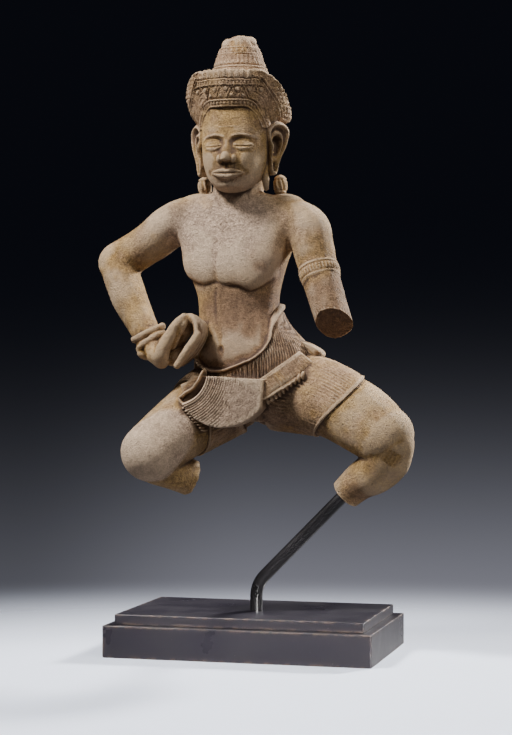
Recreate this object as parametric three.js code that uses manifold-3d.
// A Khmer dancing deity carved from one block of sandstone, broken at the left elbow and at both
// shins, on a bent steel rod that stands in a low stepped plinth. Millimetres, +Z up, and the figure
// looks along -Y. The origin is the middle of the plinth's underside.
// "Left" and "right" are the figure's own, so its left side is at +X.

import * as THREE from 'three';
import { mergeVertices } from 'three/addons/utils/BufferGeometryUtils.js';
import Module from 'manifold-3d';

const wasm = await Module();
wasm.setup();

// Driving dimensions

const GAP = 0.3; // clearance between separate pieces

const BASE = { width: 410, depth: 260, height: 48 };
const STEP = { width: 382, depth: 228, height: 15 };
const PLINTH_EDGE = 1.2; // the small flat along the plinth's edges

const ROD_RADIUS = 9.5;
const ROD_FOOT = { x: 4, y: -18 };
const ROD_BEND_Z = 104;
const ROD_BEND_REACH = 20; // from the corner of the bend to where the rod is straight again
const ROD_SOCKET_DEPTH = 30; // how far the rod reaches into the stone

const CHEST_X = -31; // the upright line of the head and chest
const HIP_X = 2; // the hips swing out to the left of that line
const CHIN_Z = 699;
const HAIRLINE_Z = 824;
const CAP_TOP_Z = 944;
const CLOTH = 5; // how far the carved cloth stands out from the body
const PLEATS = 32; // round the hips

// Limbs, each as rows of [x, y, z, half thickness one way, half thickness the other way]

const LEFT_ARM = [
  [40, 8, 668, 22, 20],
  [62, 6, 665, 32, 26],
  [79, 4, 648, 37, 33],
  [88, -3, 622, 34, 32],
  [102, -16, 578, 30, 29],
  [118, -32, 535, 29, 27.5],
  [136, -50, 490, 28, 26.5],
];
const RIGHT_ARM = [
  [-94, 8, 672, 24, 22],
  [-116, 6, 669, 33, 29],
  [-141, 6, 653, 37, 33],
  [-166, 7, 634, 35, 32],
  [-196, 8, 616, 32, 31],
  [-229, 10, 598, 31, 33],
];
const RIGHT_FOREARM = [
  [-228, 10, 604, 28, 29],
  [-220, 2, 580, 30, 29],
  [-206, -10, 550, 30, 28],
  [-191, -20, 525, 28, 26],
  [-175, -31, 500, 25, 23],
  [-159, -42, 474, 23, 20],
];
const LEFT_THIGH = [
  [8, 6, 401, 54, 54],
  [52, 2, 397, 57, 60],
  [98, -14, 390, 56, 57],
  [139, -34, 376, 53, 53],
  [177, -52, 356, 51, 51],
  [209, -66, 334, 46, 46],
];
const LEFT_SHIN = [
  [218, -68, 322, 40, 41],
  [211, -60, 301, 36, 36],
  [192, -50, 281, 31, 31],
  [169, -37, 264, 27, 27.5],
  [146, -22, 246, 25, 24.5],
  [124, -8, 228, 24, 23],
];
const RIGHT_THIGH = [
  [-20, 2, 396, 50, 50],
  [-62, -10, 380, 57, 55],
  [-92, -48, 354, 52, 50],
  [-115, -78, 331, 48, 47],
  [-138, -105, 306, 44, 43],
];
const RIGHT_SHIN = [
  [-139, -107, 301, 36, 38],
  [-131, -90, 290, 32, 33],
  [-116, -66, 279, 29, 29],
  [-101, -42, 269, 28, 28],
  [-84, -16, 258, 28, 27],
];
const LEFT_ARM_BREAK = { at: vec(132, -46, 500), away: vec(0.14, -0.7, -0.7), roughness: 0.8 };
const LEFT_SHIN_BREAK = { at: vec(144, -21, 245), away: vec(-0.74, 0.2, -0.64), roughness: 0.5 };
const RIGHT_SHIN_BREAK = { at: vec(-96, -34, 265), away: vec(0.75, 0.6, -0.28), roughness: 3.2 };

function vec(x, y, z) {
  return new THREE.Vector3(x, y, z);
}

// Rows of numbers spread evenly over a smooth curve through the given rows.
function smoothRows(rows, count) {
  const at = (i) => rows[Math.min(Math.max(i, 0), rows.length - 1)];
  return Array.from({ length: count + 1 }, (_, k) => {
    const s = (k / count) * (rows.length - 1);
    const i = Math.min(Math.floor(s), rows.length - 2);
    const t = s - i;
    return at(i).map((p1, c) => {
      const [p0, p2, p3] = [at(i - 1)[c], at(i + 1)[c], at(i + 2)[c]];
      const bend = (2 * p0 - 5 * p1 + 4 * p2 - p3) * t * t + (3 * p1 - p0 - 3 * p2 + p3) * t ** 3;
      return p1 + 0.5 * ((p2 - p0) * t + bend);
    });
  });
}

// Angles spread evenly round a ring.
function anglesRound(sides) {
  return Array.from({ length: sides }, (_, j) => (2 * Math.PI * j) / sides);
}

// Rings of points joined into one closed skin, with a fan over each end ring.
function skin(rings) {
  const sides = rings[0].length;
  const positions = [];
  const triangle = (...corners) => corners.forEach((p) => positions.push(p.x, p.y, p.z));
  const middle = (ring) => ring.reduce((sum, p) => sum.add(p), vec(0, 0, 0)).divideScalar(sides);
  const [first, last] = [rings[0], rings[rings.length - 1]];
  const [start, end] = [middle(first), middle(last)];
  for (let j = 0; j < sides; j++) {
    const k = (j + 1) % sides;
    triangle(start, first[k], first[j]);
    triangle(end, last[j], last[k]);
    for (let i = 0; i + 1 < rings.length; i++) {
      triangle(rings[i][j], rings[i][k], rings[i + 1][k]);
      triangle(rings[i][j], rings[i + 1][k], rings[i + 1][j]);
    }
  }
  const geometry = new THREE.BufferGeometry();
  geometry.setAttribute('position', new THREE.Float32BufferAttribute(positions, 3));
  return geometry;
}

// A closed geometry as a solid, turned right side out.
function solid(geometry) {
  const bare = geometry.clone();
  bare.deleteAttribute('normal');
  bare.deleteAttribute('uv');
  const merged = mergeVertices(bare, 1e-4);
  const vertProperties = new Float32Array(merged.attributes.position.array);
  const triVerts = new Uint32Array(merged.index.array);
  const made = new wasm.Manifold(new wasm.Mesh({ numProp: 3, vertProperties, triVerts }));
  if (made.volume() > 0) return made;
  for (let i = 0; i < triVerts.length; i += 3) {
    [triVerts[i + 1], triVerts[i + 2]] = [triVerts[i + 2], triVerts[i + 1]];
  }
  return new wasm.Manifold(new wasm.Mesh({ numProp: 3, vertProperties, triVerts }));
}

function join(solids) {
  return solids.reduce((whole, piece) => whole.add(piece));
}

function geometryOf(manifold) {
  const mesh = manifold.getMesh();
  const geometry = new THREE.BufferGeometry();
  geometry.setAttribute('position', new THREE.BufferAttribute(mesh.vertProperties, 3));
  geometry.setIndex(new THREE.BufferAttribute(mesh.triVerts, 1));
  return geometry;
}

// One point of a rounded section: an ellipse that grows squarer as its power rises above 2.
function roundedPoint(angle, wide, deep, power = 2) {
  const bow = (value) => Math.sign(value) * Math.abs(value) ** (2 / power);
  return [wide * bow(Math.cos(angle)), deep * bow(Math.sin(angle))];
}

// An upright form from rows of [z, centre x, centre y, half width, half depth, power].
function upright(rows, { steps, sides }) {
  return solid(skin(smoothRows(rows, steps).map(([z, x, y, wide, deep, power]) =>
    anglesRound(sides).map((angle) => {
      const [px, py] = roundedPoint(angle, wide, deep, power);
      return vec(x + px, y + py, z);
    }))));
}

// A limb through rows of [x, y, z, half thickness along "across", half thickness square to it].
// swell(angle) stands each point proud, and roundEnd closes the far end with a dome.
function limb(stations, { across, steps, sides, swell = () => 0, roundEnd = false }) {
  const rows = smoothRows(stations, steps);
  const centres = rows.map(([x, y, z]) => vec(x, y, z));
  const sections = rows.map(([, , , wide, deep], i) => {
    const along = (centres[i + 1] ?? centres[i]).clone().sub(centres[i - 1] ?? centres[i]).normalize();
    return { centre: centres[i], along, wide, deep };
  });
  if (roundEnd) {
    const { centre, along, wide, deep } = sections[steps];
    for (const turn of [0.6, 1.15]) {
      const ahead = centre.clone().addScaledVector(along, (Math.sin(turn) * (wide + deep)) / 2);
      sections.push({ centre: ahead, along, wide: wide * Math.cos(turn), deep: deep * Math.cos(turn) });
    }
  }
  return solid(skin(sections.map(({ centre, along, wide, deep }) => {
    const side = across.clone().addScaledVector(along, -across.dot(along)).normalize();
    const fore = along.clone().cross(side);
    return anglesRound(sides).map((angle) => {
      const out = swell(angle);
      const [s, f] = roundedPoint(angle, wide + out, deep + out);
      return centre.clone().addScaledVector(side, s).addScaledVector(fore, f);
    });
  })));
}

function ellipsoid(centre, radii, { across = 8, up = 5 } = {}) {
  const ball = new THREE.SphereGeometry(1, across, up);
  ball.scale(...radii).translate(centre.x, centre.y, centre.z);
  return solid(ball);
}

// A ring of round section about a limb, square to "along".
function band(centre, along, radius, thickness, sides) {
  const ring = new THREE.TorusGeometry(radius, thickness, 4, sides);
  const turn = new THREE.Quaternion().setFromUnitVectors(vec(0, 0, 1), along.clone().normalize());
  return solid(ring.applyQuaternion(turn).translate(centre.x, centre.y, centre.z));
}

// Everything past a break: a block whose near face is pushed in and out by the break's roughness.
function past({ at, away, roughness }) {
  const reach = 120;
  const cells = 4;
  const block = new THREE.BoxGeometry(reach, reach, reach, cells, cells, 1).translate(0, 0, reach / 2);
  const position = block.attributes.position;
  for (let i = 0; i < position.count; i++) {
    if (position.getZ(i) > reach / 2) continue;
    const [x, y] = [position.getX(i), position.getY(i)];
    position.setZ(i, roughness * (Math.sin(x * 0.31 + 1.3) + Math.sin(y * 0.37 + x * 0.11)));
  }
  const turn = new THREE.Quaternion().setFromUnitVectors(vec(0, 0, 1), away.clone().normalize());
  return solid(block.applyQuaternion(turn).translate(at.x, at.y, at.z));
}

// Trunk, from the crotch to the neck, as rows of [z, centre x, centre y, half width, half depth, power]

const TRUNK = [
  [348, HIP_X, 2, 34, 30, 2.2],
  [372, HIP_X, 3, 64, 50, 2.2],
  [398, HIP_X, 4, 84, 60, 2.3],
  [425, HIP_X - 1, 4, 92, 60, 2.3],
  [450, HIP_X - 4, 3, 88, 58, 2.3],
  [473, HIP_X - 10, 1, 78, 54, 2.2],
  [496, CHEST_X + 11, -1, 69, 50, 2.2],
  [520, CHEST_X + 4, -1, 63, 47, 2.2],
  [545, CHEST_X + 2, 0, 64, 48, 2.2],
  [572, CHEST_X, 2, 71, 50, 2.3],
  [600, CHEST_X, 3, 78, 52, 2.4],
  [625, CHEST_X, 4, 85, 51, 2.4],
  [650, CHEST_X, 6, 98, 47, 2.4],
  [672, CHEST_X, 8, 98, 42, 2.3],
  [687, CHEST_X, 9, 86, 36, 2.2],
  [697, CHEST_X, 9, 62, 32, 2.1],
];
const TRUNK_FINE = smoothRows(TRUNK, 240);

// Rounded masses on the trunk: direction in degrees (-90 is the front), height, spread in degrees,
// spread in height, and how far they stand out
const MASSES = [
  [-90 - 34, 604, 24, 26, 12], // right chest muscle
  [-90 + 34, 604, 24, 26, 12], // left chest muscle
  [-90, 465, 46, 34, 10], // belly
  [90 - 38, 402, 30, 34, 17], // left buttock
  [90 + 38, 402, 30, 34, 17], // right buttock
  [90 - 36, 630, 26, 32, 6], // left shoulder blade
  [90 + 36, 630, 26, 32, 6], // right shoulder blade
  [90, 560, 14, 80, -5], // hollow of the spine
];

// The point of the trunk's surface at a height and a direction, moved outwards by "out".
function trunkPoint(z, angle, out = 0) {
  const index = TRUNK_FINE.findIndex((row) => row[0] >= z);
  const [, x, y, wide, deep, power] = TRUNK_FINE[index < 0 ? TRUNK_FINE.length - 1 : index];
  const masses = MASSES.reduce((sum, [direction, height, spread, spreadUp, proud]) => {
    const turn = THREE.MathUtils.radToDeg(angle) - direction;
    const around = THREE.MathUtils.euclideanModulo(turn + 180, 360) - 180;
    return sum + proud * Math.exp(-((around / spread) ** 2) - ((z - height) / spreadUp) ** 2);
  }, 0);
  const [px, py] = roundedPoint(angle, wide + masses + out, deep + masses + out, power);
  return vec(x + px, y + py, z);
}

// The bare trunk, from inside the hip cloth up
function trunk() {
  const low = 408;
  const steps = 16;
  const high = TRUNK[TRUNK.length - 1][0];
  return solid(skin(Array.from({ length: steps + 1 }, (_, i) =>
    anglesRound(24).map((angle) => trunkPoint(low + ((high - low) * i) / steps, angle)))));
}

// Head. The face is calm and even, and each feature sits at a share of the height from the chin to
// the hairline

const HEAD = [
  [CHIN_Z, CHEST_X, -36, 17, 17, 2],
  [707, CHEST_X, -28, 30, 32, 2.1],
  [723, CHEST_X, -14, 42, 49, 2.3],
  [744, CHEST_X, -6, 49, 59, 2.4],
  [770, CHEST_X, -1, 53, 64, 2.4],
  [800, CHEST_X, 1, 55, 66, 2.4],
  [832, CHEST_X, 3, 55, 66, 2.3],
  [862, CHEST_X, 5, 48, 58, 2.2],
  [884, CHEST_X, 6, 30, 36, 2],
];
const NECK = [
  [662, CHEST_X, 6, 52, 44, 2],
  [682, CHEST_X, 6, 42, 42, 2],
  [700, CHEST_X, 5, 39, 40, 2],
  [735, CHEST_X, 4, 38, 42, 2],
];
const FACE_Y = -63;
const EYES_APART = 23;

function faceZ(share) {
  return CHIN_Z + share * (HAIRLINE_Z - CHIN_Z);
}

function head() {
  const skull = upright(HEAD, { steps: 8, sides: 16 });
  const neck = upright(NECK, { steps: 3, sides: 14 });
  const nose = limb([
    [CHEST_X, FACE_Y + 6, faceZ(0.64), 7, 6],
    [CHEST_X, FACE_Y - 1, faceZ(0.5), 8.5, 8],
    [CHEST_X, FACE_Y - 6, faceZ(0.37), 13, 9],
  ], { across: vec(1, 0, 0), steps: 3, sides: 8 });
  const brow = limb([-46, -24, 0, 24, 46].map((x) =>
    [CHEST_X + x, FACE_Y + 3 + (x * x) / 95, faceZ(0.66) - Math.abs(x) / 30, 5, 4.5],
  ), { across: vec(0, 1, 0), steps: 6, sides: 6 });
  const eyes = [-1, 1].map((side) =>
    ellipsoid(vec(CHEST_X + side * EYES_APART, FACE_Y + 10, faceZ(0.565)), [13, 9, 6]));
  const lips = [[0.255, 24], [0.2, 20]].map(([share, wide]) =>
    ellipsoid(vec(CHEST_X, FACE_Y + 8, faceZ(share)), [wide, 11, 4.4]));
  return join([skull, neck, nose, brow, ...eyes, ...lips]);
}

// Ears with long lobes, and the ribbed pendants between the lobes and the shoulders

function ear(side) {
  const row = (out, y, z, wide, deep) => [CHEST_X + side * out, y, z, wide, deep];
  const rim = limb([
    row(54, -4, 782, 5, 4), row(60, 4, 803, 5, 5), row(71, 17, 804, 5, 5),
    row(75, 21, 784, 5, 5), row(71, 16, 750, 5, 5), row(66, 8, 716, 7, 6),
  ], { across: vec(0, 1, 0), steps: 7, sides: 5 });
  const shell = limb([
    row(54, 2, 800, 14, 6), row(60, 8, 776, 15, 6), row(60, 7, 748, 9, 5), row(63, 5, 718, 6, 5),
  ], { across: vec(side, 0.9, 0), steps: 3, sides: 6 });
  return [rim, shell];
}

function pendant(side) {
  const profile = [[0, 0], [8, 2], [10, 7], [8, 11], [10.5, 15], [8, 19], [8, 25], [0, 28]];
  const drop = new THREE.LatheGeometry(profile.map(([r, h]) => new THREE.Vector2(r, h)), 8);
  return solid(drop.rotateX(Math.PI / 2).translate(CHEST_X + side * 67, 6, 692));
}

// Headdress: a diadem that flares out and is highest over the brow, and a cap of three tiers above it

const DIADEM = { low: 792, rise: 34, top: 850, front: 36, leaves: 16 };
const DIADEM_SECTION = [[0, 57], [0.06, 62], [0.25, 66], [0.45, 71], [0.66, 77.5], [0.8, 77], [1, 69]];
const CAP = [[46, 866], [44, 885], [41, 891], [37, 908], [35, 912], [31, 926], [28, 930], [21, 940], [8, CAP_TOP_Z]];

function headdress() {
  const rings = DIADEM_SECTION.map(([share, radius], i) => anglesRound(2 * DIADEM.leaves).map((angle, j) => {
    const front = 0.5 - 0.5 * Math.sin(angle); // 1 over the brow and 0 at the nape
    const low = DIADEM.low + DIADEM.rise * THREE.MathUtils.smoothstep(front, 0.62, 0.86);
    const top = DIADEM.top + DIADEM.front * THREE.MathUtils.smoothstep(front, 0.3, 0.78);
    const leaf = i > 1 ? (j % 2 ? 0.8 : -0.8) : 0;
    const [px, py] = roundedPoint(angle, radius + leaf, radius + leaf + 11);
    return vec(CHEST_X + px, 3 + py, low + share * (top - low) + (i > 4 ? 1.5 * leaf : 0));
  }));
  const profile = [[0, CAP[0][1]], ...CAP, [0, CAP_TOP_Z + 1]].map(([r, z]) => new THREE.Vector2(r, z));
  const cap = new THREE.LatheGeometry(profile, 16).rotateX(Math.PI / 2).translate(CHEST_X, 7, 0);
  return [solid(skin(rings)), solid(cap)];
}

// Arms, hand and legs

const FORE = vec(0, 1, 0);
const UP = vec(0, 0, 1);

function leftArm() {
  const arm = limb(LEFT_ARM, { across: FORE, steps: 9, sides: 14 });
  const armlet = band(vec(102, -16, 579), vec(0.32, -0.34, -0.88), 29, 2.6, 12);
  return join([arm, armlet]).subtract(past(LEFT_ARM_BREAK));
}

function rightArm() {
  const upper = limb(RIGHT_ARM, { across: FORE, steps: 7, sides: 14, roundEnd: true });
  const lower = limb(RIGHT_FOREARM, { across: FORE, steps: 6, sides: 12 });
  const along = vec(0.5, -0.4, -0.77);
  const bracelets = [vec(-168, -37, 489), vec(-160, -44, 474)].map((at) => band(at, along, 21.5, 4.5, 10));
  return join([upper, lower, ...bracelets]);
}

// The right hand, bent up from the wrist, with its fingers folded down in front of the palm
function hand() {
  const back = limb([
    [-163, -42, 474, 20, 16], [-148, -50, 462, 25, 13], [-131, -52, 470, 28, 11],
    [-109, -54, 494, 29, 8], [-92, -56, 508, 28, 7],
  ], { across: FORE, steps: 5, sides: 8 });
  const fingers = [-78, -64, -50, -37].map((y, i) => limb([
    [-98, y + 2, 506 - 2 * i, 6.5, 6], [-82, y, 506 - 2 * i, 7, 6.5], [-74, y - 1, 490, 7, 6.5],
    [-88, y - 1, 464, 6.5, 6.5], [-108, y + 1, 441 + 2 * i, 6, 6],
  ], { across: FORE, steps: 5, sides: 5 }));
  const thumb = limb([
    [-150, -62, 454, 9, 9], [-137, -76, 462, 9, 8], [-122, -82, 478, 8, 7], [-106, -82, 497, 6, 6],
  ], { across: FORE, steps: 3, sides: 6 });
  return [back, ...fingers, thumb];
}

function leg(thigh, shin, stump) {
  const upper = limb(thigh, { across: UP, steps: 7, sides: 16, roundEnd: true });
  const lower = limb(shin, { across: FORE, steps: 6, sides: 12 });
  return join([upper, lower.subtract(past(stump))]);
}

// Pleated cloth round the hips: high at the sides and the back, scooped out under the belly

const WAIST_Z = 533;
const SCOOP = 103;

function hipCloth() {
  const low = 352;
  const edge = (angle) => WAIST_Z - SCOOP * Math.max(0, -Math.sin(angle)) ** 2.2;
  const ring = (share, proud, pleat) => anglesRound(2 * PLEATS).map((angle, j) =>
    trunkPoint(low + share * (edge(angle) - low), angle, proud + (j % 2 ? pleat : -pleat)));
  const pleated = [0, 0.2, 0.4, 0.68, 0.95].map((share) => ring(share, CLOTH, 1));
  return solid(skin([...pleated, ring(0.96, CLOTH + 4, 0.2), ring(1, CLOTH + 3, 0.2)]));
}

// A short leg of the cloth, ribbed along the thigh
function clothLeg(thigh, from, to) {
  const ribs = 12;
  const fine = smoothRows(thigh, 40).slice(from, to);
  const stations = fine.map(([x, y, z, wide, deep]) => [x, y, z, wide + CLOTH, deep + CLOTH]);
  const swell = (angle) => (Math.round((angle * ribs) / Math.PI) % 2 ? 1 : -1);
  return limb(stations, { across: UP, steps: 3, sides: 2 * ribs, swell });
}

// The front flap: a fan of curved folds round a hollow, with a thin edge of cloth beyond the hollow.
// Each fold is an arc about the fan's middle, and stops at the flap's rounded lower edge.
const FAN = { x: -100, z: 428, inner: 48, outer: 134, folds: 8, y: -84 };
const FAN_STOPS = [[48, 77], [69, 69], [86, 63], [104, 54], [116, 44], [127, 33], [134, 24]];

function flap() {
  const across = 2 * FAN.folds;
  const down = 4;
  const stops = smoothRows(FAN_STOPS, 80);
  const rings = Array.from({ length: across + 1 }, (_, i) => {
    const radius = FAN.inner + ((FAN.outer - FAN.inner) * i) / across;
    const start = Math.asin(10 / radius);
    const stop = THREE.MathUtils.degToRad(stops.find((row) => row[0] >= radius - 0.01)[1]);
    const fold = i % 2 ? 1.4 : -1.4;
    const front = Array.from({ length: down + 1 }, (_, j) => {
      const angle = start + ((stop - start) * j) / down;
      const x = FAN.x + radius * Math.cos(angle);
      return vec(x, FAN.y - 0.15 * (30 - x) + fold, FAN.z - radius * Math.sin(angle));
    });
    return [...front, ...front.toReversed().map(({ x, z }) => vec(x, FAN.y + 24, z))];
  });
  const curl = limb([
    [-64, -62, 431, 22, 3], [-68, -69, 415, 22, 3], [-77, -71, 402, 22, 3], [-89, -75, 393, 22, 3.5],
    [-93, -76, 385, 22, 3.5], [-88, -78, 376, 20, 3.5],
  ], { across: FORE, steps: 5, sides: 6 });
  return [solid(skin(rings)), curl];
}

// The sash that runs up over the left hip, and its folded end on top
function sash() {
  const ribbon = limb([
    [27, -76, 399, 14, 8], [34, -77, 403, 14, 8], [56, -72, 418, 15, 8], [74, -60, 432, 15, 7], [88, -42, 446, 14, 6],
  ], { across: UP, steps: 6, sides: 8 });
  const foldedEnd = limb([
    [74, 2, 465, 20, 8], [92, 3, 458, 22, 9], [108, 1, 450, 20, 8], [122, -7, 442, 15, 6],
  ], { across: FORE, steps: 3, sides: 8 });
  return [ribbon, foldedEnd];
}

function figure() {
  return join([
    trunk(), head(), ...ear(-1), ...ear(1), pendant(-1), pendant(1), ...headdress(),
    leftArm(), rightArm(), ...hand(),
    leg(LEFT_THIGH, LEFT_SHIN, LEFT_SHIN_BREAK), leg(RIGHT_THIGH, RIGHT_SHIN, RIGHT_SHIN_BREAK),
    hipCloth(), clothLeg(LEFT_THIGH, 4, 23), clothLeg(RIGHT_THIGH, 4, 17), ...flap(), ...sash(),
  ]);
}

// The rod: upright from the plinth, one bend, and then straight into the left shin

function rodCentre() {
  const end = LEFT_SHIN_BREAK.at;
  const corner = vec(ROD_FOOT.x, ROD_FOOT.y, ROD_BEND_Z);
  const rise = end.clone().sub(corner).normalize();
  const before = corner.clone().addScaledVector(UP, -ROD_BEND_REACH);
  const after = corner.clone().addScaledVector(rise, ROD_BEND_REACH);
  const path = new THREE.CurvePath();
  path.add(new THREE.LineCurve3(vec(ROD_FOOT.x, ROD_FOOT.y, BASE.height + GAP), before));
  path.add(new THREE.QuadraticBezierCurve3(before, corner, after));
  path.add(new THREE.LineCurve3(after, end.clone().addScaledVector(rise, ROD_SOCKET_DEPTH)));
  return path.getPoints(6);
}

// A round bar along the rod's centre line, with a ring only where it begins, bends or ends
function bar(radius) {
  const centre = rodCentre();
  return solid(skin(centre.map((point, i) => {
    const along = (centre[i + 1] ?? point).clone().sub(centre[i - 1] ?? point).normalize();
    const side = FORE.clone().cross(along).normalize();
    const fore = along.clone().cross(side);
    return anglesRound(14).map((angle) => point.clone()
      .addScaledVector(side, radius * Math.cos(angle)).addScaledVector(fore, radius * Math.sin(angle)));
  })));
}

function slab({ width, depth, height }, bottom) {
  const inset = PLINTH_EDGE;
  const [x, y] = [width / 2 - inset, depth / 2 - inset];
  const shape = new THREE.Shape([[-x, -y], [x, -y], [x, y], [-x, y]].map((p) => new THREE.Vector2(...p)));
  const block = new THREE.ExtrudeGeometry(shape, {
    depth: height - 2 * inset, bevelThickness: inset, bevelSize: inset, bevelSegments: 1,
  });
  return solid(block.translate(0, 0, bottom + inset));
}

function named(name, manifold, material) {
  const mesh = new THREE.Mesh(geometryOf(manifold), material);
  mesh.name = name;
  return mesh;
}

const sandstone = new THREE.MeshStandardMaterial({ color: 0xa8937a, roughness: 0.95, metalness: 0 });
const rodSteel = new THREE.MeshStandardMaterial({ color: 0x2b2629, roughness: 0.42, metalness: 0.6 });
const blackLacquer = new THREE.MeshStandardMaterial({ color: 0x2f2a2e, roughness: 0.35, metalness: 0 });

const rodHole = bar(ROD_RADIUS + GAP);

const object = new THREE.Group();
object.add(named('stone_figure', figure().subtract(rodHole), sandstone));
object.add(named('support_rod', bar(ROD_RADIUS), rodSteel));
object.add(named('plinth_step', slab(STEP, BASE.height + GAP).subtract(rodHole), blackLacquer));
object.add(named('plinth_base', slab(BASE, 0), blackLacquer));

export default object;
